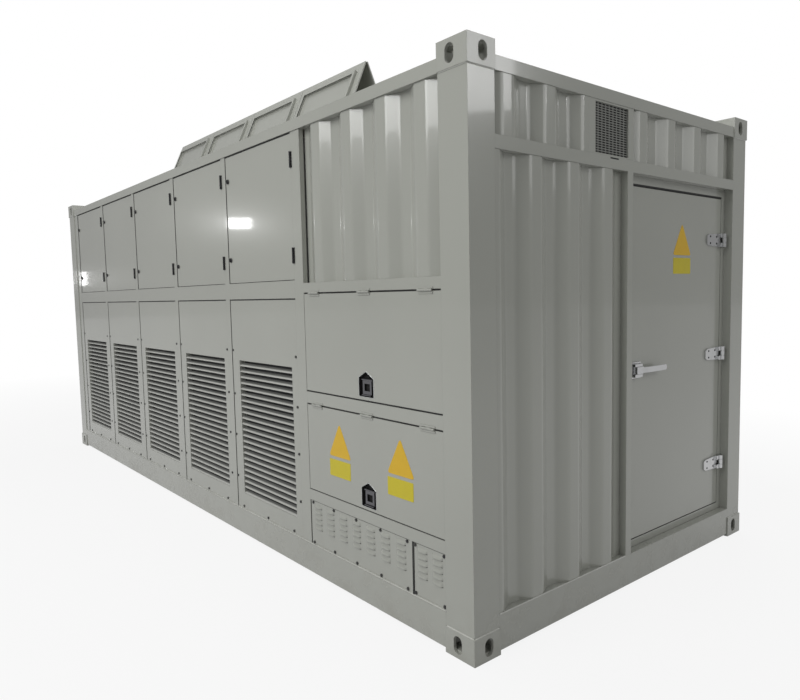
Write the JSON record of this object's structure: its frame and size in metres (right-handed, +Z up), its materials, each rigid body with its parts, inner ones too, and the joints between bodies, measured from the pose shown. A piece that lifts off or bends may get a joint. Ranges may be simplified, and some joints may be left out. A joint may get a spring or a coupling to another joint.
{
  "type": "generator load bank",
  "caption": "Containerised generator load bank with open roof lids, louvred side panels, hinged side doors, flaps and a latched end door.",
  "frame": {"origin": "middle of the footprint, on the ground", "axes": "+X along the container towards the end door, -Y towards the side with the opening doors, +Z up"},
  "size_m": [6.058, 2.438, 3.3248],
  "materials": {
    "enamel": "gloss enamel, light grey-green",
    "casting_paint": "painted casting, slight texture",
    "black_metal": "satin black",
    "black_plastic": "moulded black",
    "bright_blade": "bare satin blades",
    "zinc": "zinc plated",
    "chrome": "polished",
    "dark_steel": "dark inner steel",
    "mesh": "black mesh",
    "resistor": "heat-tinted alloy",
    "panel_grey": "light grey",
    "copper": "copper bar"
  },
  "bodies": {
    "container": {"bottom_castings": "casting_paint", "top_castings": "casting_paint", "corner_posts": "enamel", "top_rails": "enamel", "bottom_rails": "enamel", "floor_crossmembers": "dark_steel", "floor_plate": "dark_steel", "wall_frames": "enamel", "corrugated_walls": "enamel", "vent_grille": "mesh", "end_door_portal": "enamel", "roof_deck": "enamel", "louvre_panels": "enamel", "louvre_blades": "enamel", "louvre_screens": "mesh", "rear_upper_panels": "enamel", "panel_bolts": "zinc", "vent_panels": "enamel", "frame_hinges": "black_metal", "end_door_brackets": "chrome", "resistor_racks": "dark_steel", "resistor_elements": "resistor", "fan_shrouds": "dark_steel", "partitions": "panel_grey", "service_panels": "panel_grey", "busbars": "copper"},
    "side_door_1": {"side_door_1": "enamel"},
    "side_door_1_latch_upper": {"side_door_1_latch_upper": "black_plastic"},
    "side_door_1_latch_lower": {"side_door_1_latch_lower": "black_plastic"},
    "side_door_2": {"side_door_2": "enamel"},
    "side_door_2_latch_upper": {"side_door_2_latch_upper": "black_plastic"},
    "side_door_2_latch_lower": {"side_door_2_latch_lower": "black_plastic"},
    "side_door_3": {"side_door_3": "enamel"},
    "side_door_3_latch_upper": {"side_door_3_latch_upper": "black_plastic"},
    "side_door_3_latch_lower": {"side_door_3_latch_lower": "black_plastic"},
    "side_door_4": {"side_door_4": "enamel"},
    "side_door_4_latch_upper": {"side_door_4_latch_upper": "black_plastic"},
    "side_door_4_latch_lower": {"side_door_4_latch_lower": "black_plastic"},
    "side_door_5": {"side_door_5": "enamel"},
    "side_door_5_latch_upper": {"side_door_5_latch_upper": "black_plastic"},
    "side_door_5_latch_lower": {"side_door_5_latch_lower": "black_plastic"},
    "flap_upper": {"flap_upper": "enamel"},
    "flap_upper_paddle": {"flap_upper_paddle": "chrome"},
    "flap_lower": {"flap_lower": "enamel"},
    "flap_lower_paddle": {"flap_lower_paddle": "chrome"},
    "end_door": {"end_door": "enamel", "end_door_fittings": "chrome"},
    "end_door_lever": {"end_door_lever": "chrome"},
    "front_lid_1": {"front_lid_1": "enamel"},
    "rear_lid_1": {"rear_lid_1": "enamel"},
    "fan_impeller_1": {"fan_impeller_1": "bright_blade"},
    "front_lid_2": {"front_lid_2": "enamel"},
    "rear_lid_2": {"rear_lid_2": "enamel"},
    "fan_impeller_2": {"fan_impeller_2": "bright_blade"},
    "front_lid_3": {"front_lid_3": "enamel"},
    "rear_lid_3": {"rear_lid_3": "enamel"},
    "fan_impeller_3": {"fan_impeller_3": "bright_blade"},
    "front_lid_4": {"front_lid_4": "enamel"},
    "rear_lid_4": {"rear_lid_4": "enamel"},
    "fan_impeller_4": {"fan_impeller_4": "bright_blade"}
  },
  "joints": [
    {"name": "side_door_1_hinge", "type": "hinge", "parent": "container", "child": "side_door_1", "pos_m": [1.649, -1.2135, 2.062], "axis": [0, 0, 1], "range_deg": [0, 120]},
    {"name": "side_door_1_latch_upper_turn", "type": "hinge", "parent": "side_door_1", "child": "side_door_1_latch_upper", "pos_m": [0.859, -1.205, 2.313], "axis": [0, -1, 0], "range_deg": [0, 90]},
    {"name": "side_door_1_latch_lower_turn", "type": "hinge", "parent": "side_door_1", "child": "side_door_1_latch_lower", "pos_m": [0.859, -1.205, 1.814], "axis": [0, -1, 0], "range_deg": [0, 90]},
    {"name": "side_door_2_hinge", "type": "hinge", "parent": "container", "child": "side_door_2", "pos_m": [0.76, -1.2135, 2.062], "axis": [0, 0, 1], "range_deg": [0, 120]},
    {"name": "side_door_2_latch_upper_turn", "type": "hinge", "parent": "side_door_2", "child": "side_door_2_latch_upper", "pos_m": [-0.03, -1.205, 2.313], "axis": [0, -1, 0], "range_deg": [0, 90]},
    {"name": "side_door_2_latch_lower_turn", "type": "hinge", "parent": "side_door_2", "child": "side_door_2_latch_lower", "pos_m": [-0.03, -1.205, 1.814], "axis": [0, -1, 0], "range_deg": [0, 90]},
    {"name": "side_door_3_hinge", "type": "hinge", "parent": "container", "child": "side_door_3", "pos_m": [-0.129, -1.2135, 2.062], "axis": [0, 0, 1], "range_deg": [0, 120]},
    {"name": "side_door_3_latch_upper_turn", "type": "hinge", "parent": "side_door_3", "child": "side_door_3_latch_upper", "pos_m": [-0.919, -1.205, 2.313], "axis": [0, -1, 0], "range_deg": [0, 90]},
    {"name": "side_door_3_latch_lower_turn", "type": "hinge", "parent": "side_door_3", "child": "side_door_3_latch_lower", "pos_m": [-0.919, -1.205, 1.814], "axis": [0, -1, 0], "range_deg": [0, 90]},
    {"name": "side_door_4_hinge", "type": "hinge", "parent": "container", "child": "side_door_4", "pos_m": [-1.018, -1.2135, 2.062], "axis": [0, 0, 1], "range_deg": [0, 120]},
    {"name": "side_door_4_latch_upper_turn", "type": "hinge", "parent": "side_door_4", "child": "side_door_4_latch_upper", "pos_m": [-1.808, -1.205, 2.313], "axis": [0, -1, 0], "range_deg": [0, 90]},
    {"name": "side_door_4_latch_lower_turn", "type": "hinge", "parent": "side_door_4", "child": "side_door_4_latch_lower", "pos_m": [-1.808, -1.205, 1.814], "axis": [0, -1, 0], "range_deg": [0, 90]},
    {"name": "side_door_5_hinge", "type": "hinge", "parent": "container", "child": "side_door_5", "pos_m": [-1.907, -1.2135, 2.062], "axis": [0, 0, 1], "range_deg": [0, 120]},
    {"name": "side_door_5_latch_upper_turn", "type": "hinge", "parent": "side_door_5", "child": "side_door_5_latch_upper", "pos_m": [-2.697, -1.205, 2.313], "axis": [0, -1, 0], "range_deg": [0, 90]},
    {"name": "side_door_5_latch_lower_turn", "type": "hinge", "parent": "side_door_5", "child": "side_door_5_latch_lower", "pos_m": [-2.697, -1.205, 1.814], "axis": [0, -1, 0], "range_deg": [0, 90]},
    {"name": "flap_upper_hinge", "type": "hinge", "parent": "container", "child": "flap_upper", "pos_m": [2.297, -1.2135, 1.588], "axis": [-1, 0, 0], "range_deg": [0, 90]},
    {"name": "flap_upper_paddle_pull", "type": "hinge", "parent": "flap_upper", "child": "flap_upper_paddle", "pos_m": [2.295, -1.197, 1.156], "axis": [-1, 0, 0], "range_deg": [0, 40]},
    {"name": "flap_lower_hinge", "type": "hinge", "parent": "container", "child": "flap_lower", "pos_m": [2.297, -1.2135, 0.979], "axis": [-1, 0, 0], "range_deg": [0, 90]},
    {"name": "flap_lower_paddle_pull", "type": "hinge", "parent": "flap_lower", "child": "flap_lower_paddle", "pos_m": [2.295, -1.197, 0.599], "axis": [-1, 0, 0], "range_deg": [0, 40]},
    {"name": "end_door_hinge", "type": "hinge", "parent": "container", "child": "end_door", "pos_m": [2.996, 1.012, 1.17], "axis": [0, 0, 1], "range_deg": [0, 115]},
    {"name": "end_door_lever_pull", "type": "hinge", "parent": "end_door", "child": "end_door_lever", "pos_m": [2.998, 0.046, 1.143], "axis": [0, 0, -1], "range_deg": [0, 60]},
    {"name": "front_lid_1_hinge", "type": "hinge", "parent": "container", "child": "front_lid_1", "pos_m": [-2.3395, -0.3514, 2.566], "axis": [1, 0, 0], "range_deg": [0, 114]},
    {"name": "rear_lid_1_hinge", "type": "hinge", "parent": "container", "child": "rear_lid_1", "pos_m": [-2.3395, 0.3514, 2.566], "axis": [-1, 0, 0], "range_deg": [0, 114]},
    {"name": "fan_1_spin", "type": "hinge", "parent": "container", "child": "fan_impeller_1", "pos_m": [-2.319, 0, 0.6], "axis": [0, 0, 1], "continuous": true},
    {"name": "front_lid_2_hinge", "type": "hinge", "parent": "container", "child": "front_lid_2", "pos_m": [-1.4505, -0.3514, 2.566], "axis": [1, 0, 0], "range_deg": [0, 114]},
    {"name": "rear_lid_2_hinge", "type": "hinge", "parent": "container", "child": "rear_lid_2", "pos_m": [-1.4505, 0.3514, 2.566], "axis": [-1, 0, 0], "range_deg": [0, 114]},
    {"name": "fan_2_spin", "type": "hinge", "parent": "container", "child": "fan_impeller_2", "pos_m": [-1.43, 0, 0.6], "axis": [0, 0, 1], "continuous": true},
    {"name": "front_lid_3_hinge", "type": "hinge", "parent": "container", "child": "front_lid_3", "pos_m": [-0.5615, -0.3514, 2.566], "axis": [1, 0, 0], "range_deg": [0, 114]},
    {"name": "rear_lid_3_hinge", "type": "hinge", "parent": "container", "child": "rear_lid_3", "pos_m": [-0.5615, 0.3514, 2.566], "axis": [-1, 0, 0], "range_deg": [0, 114]},
    {"name": "fan_3_spin", "type": "hinge", "parent": "container", "child": "fan_impeller_3", "pos_m": [-0.541, 0, 0.6], "axis": [0, 0, 1], "continuous": true},
    {"name": "front_lid_4_hinge", "type": "hinge", "parent": "container", "child": "front_lid_4", "pos_m": [0.3275, -0.3514, 2.566], "axis": [1, 0, 0], "range_deg": [0, 114]},
    {"name": "rear_lid_4_hinge", "type": "hinge", "parent": "container", "child": "rear_lid_4", "pos_m": [0.3275, 0.3514, 2.566], "axis": [-1, 0, 0], "range_deg": [0, 114]},
    {"name": "fan_4_spin", "type": "hinge", "parent": "container", "child": "fan_impeller_4", "pos_m": [0.348, 0, 0.6], "axis": [0, 0, 1], "continuous": true}
  ]
}
